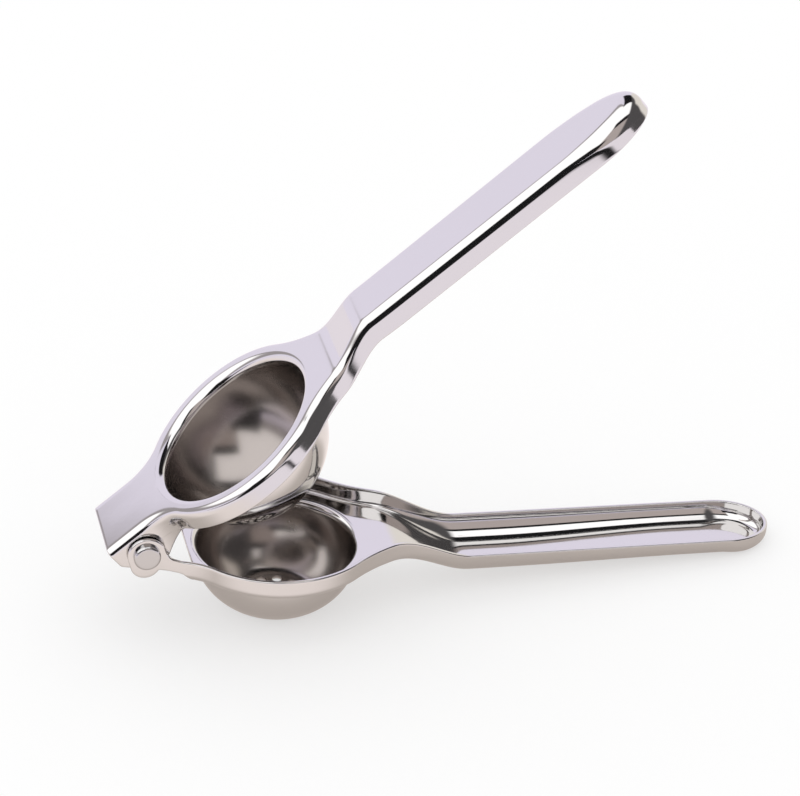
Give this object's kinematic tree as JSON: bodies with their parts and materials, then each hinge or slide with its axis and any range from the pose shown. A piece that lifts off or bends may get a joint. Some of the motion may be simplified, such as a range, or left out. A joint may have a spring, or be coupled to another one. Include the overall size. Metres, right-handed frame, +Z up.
{
  "type": "hinged lemon squeezer",
  "caption": "Hand press for half a lemon: two polished steel trays on one rivet, with a strainer cup below and a press cup above.",
  "frame": {"origin": "middle of the flat drain face under the strainer cup", "axes": "+X from the hinge to the handle ends, +Y to the far side from the rivet's head, +Z up as the tool stands on a table on its drain face and handle tip"},
  "size_m": [0.2058, 0.064, 0.1561],
  "materials": {
    "polished_steel": "mirror polished stainless steel",
    "washer": "dark nylon"
  },
  "bodies": {
    "strainer_side": {"strainer_arm": "polished_steel", "strainer_bowl": "polished_steel", "hinge_rivet": "polished_steel", "hinge_spacer": "polished_steel", "friction_washer_near": "washer", "friction_washer_far": "washer"},
    "press_side": {"press_arm": "polished_steel", "press_bowl": "polished_steel"}
  },
  "joints": [
    {"name": "hinge", "type": "hinge", "parent": "strainer_side", "child": "press_side", "pos_m": [-0.03973, 0, 0.02986], "axis": [0, -1, 0], "range_deg": [-40.3, 139.7]}
  ]
}
